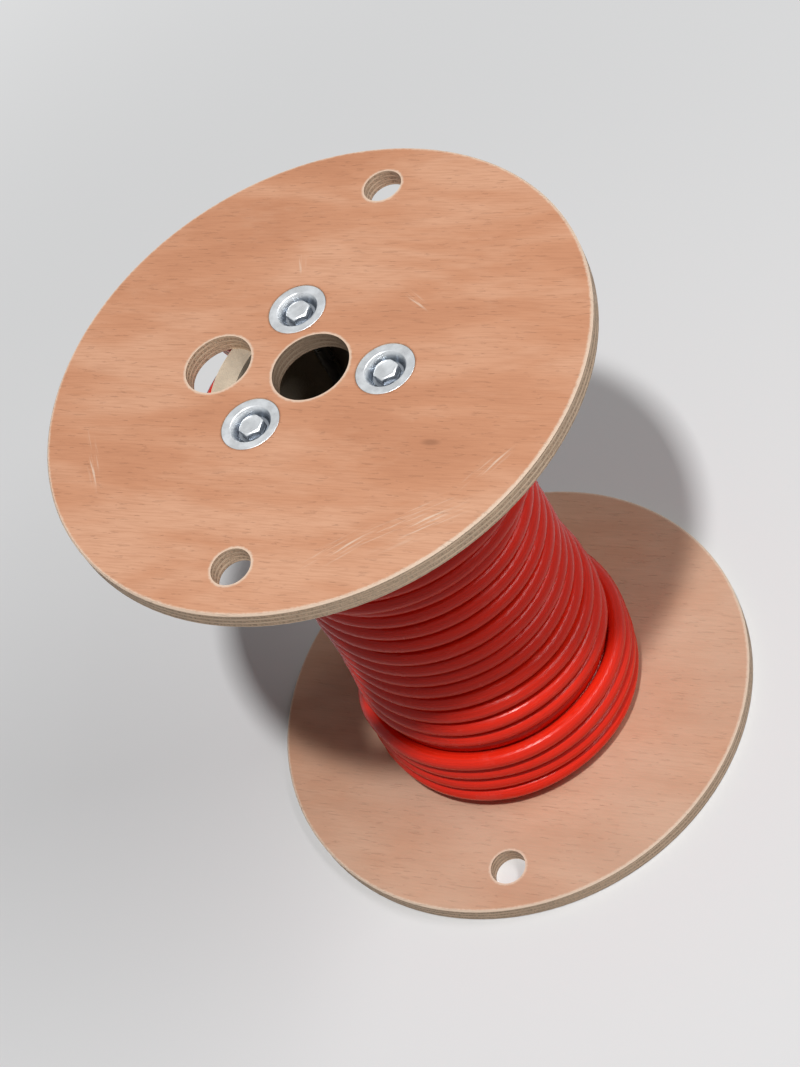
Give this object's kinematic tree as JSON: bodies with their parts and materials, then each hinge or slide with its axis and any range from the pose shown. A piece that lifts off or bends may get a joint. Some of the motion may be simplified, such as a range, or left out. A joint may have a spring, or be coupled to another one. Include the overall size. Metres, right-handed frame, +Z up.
{
  "type": "wooden cable drum",
  "caption": "Plywood cable drum standing on its flange, with an arbor hole, dished tie bolt washers and red cable left on its core.",
  "frame": {"origin": "centre of the lower flange's outer face, which the drum stands on", "axes": "+Z up the drum's axis to the upper flange, +X from the axis towards the tie bolt opposite the drive hole"},
  "size_m": [0.3556, 0.3556, 0.3984],
  "materials": {
    "plywood": "sanded bare plywood, rotary cut face, banded edge",
    "core_board": "wound paperboard, matt",
    "cable_sheath": "smooth red sheath, semi-gloss",
    "zinc_steel": "zinc plated, bright, lightly dulled"
  },
  "bodies": {
    "root": {"lower_flange": "plywood", "upper_flange": "plywood", "core_tube": "core_board", "cable_winding": "cable_sheath", "tie_bolt_1": "zinc_steel", "hex_nut_1": "zinc_steel", "head_washer_1": "zinc_steel", "nut_washer_1": "zinc_steel", "tie_bolt_2": "zinc_steel", "hex_nut_2": "zinc_steel", "head_washer_2": "zinc_steel", "nut_washer_2": "zinc_steel", "tie_bolt_3": "zinc_steel", "hex_nut_3": "zinc_steel", "head_washer_3": "zinc_steel", "nut_washer_3": "zinc_steel"}
  },
  "joints": []
}
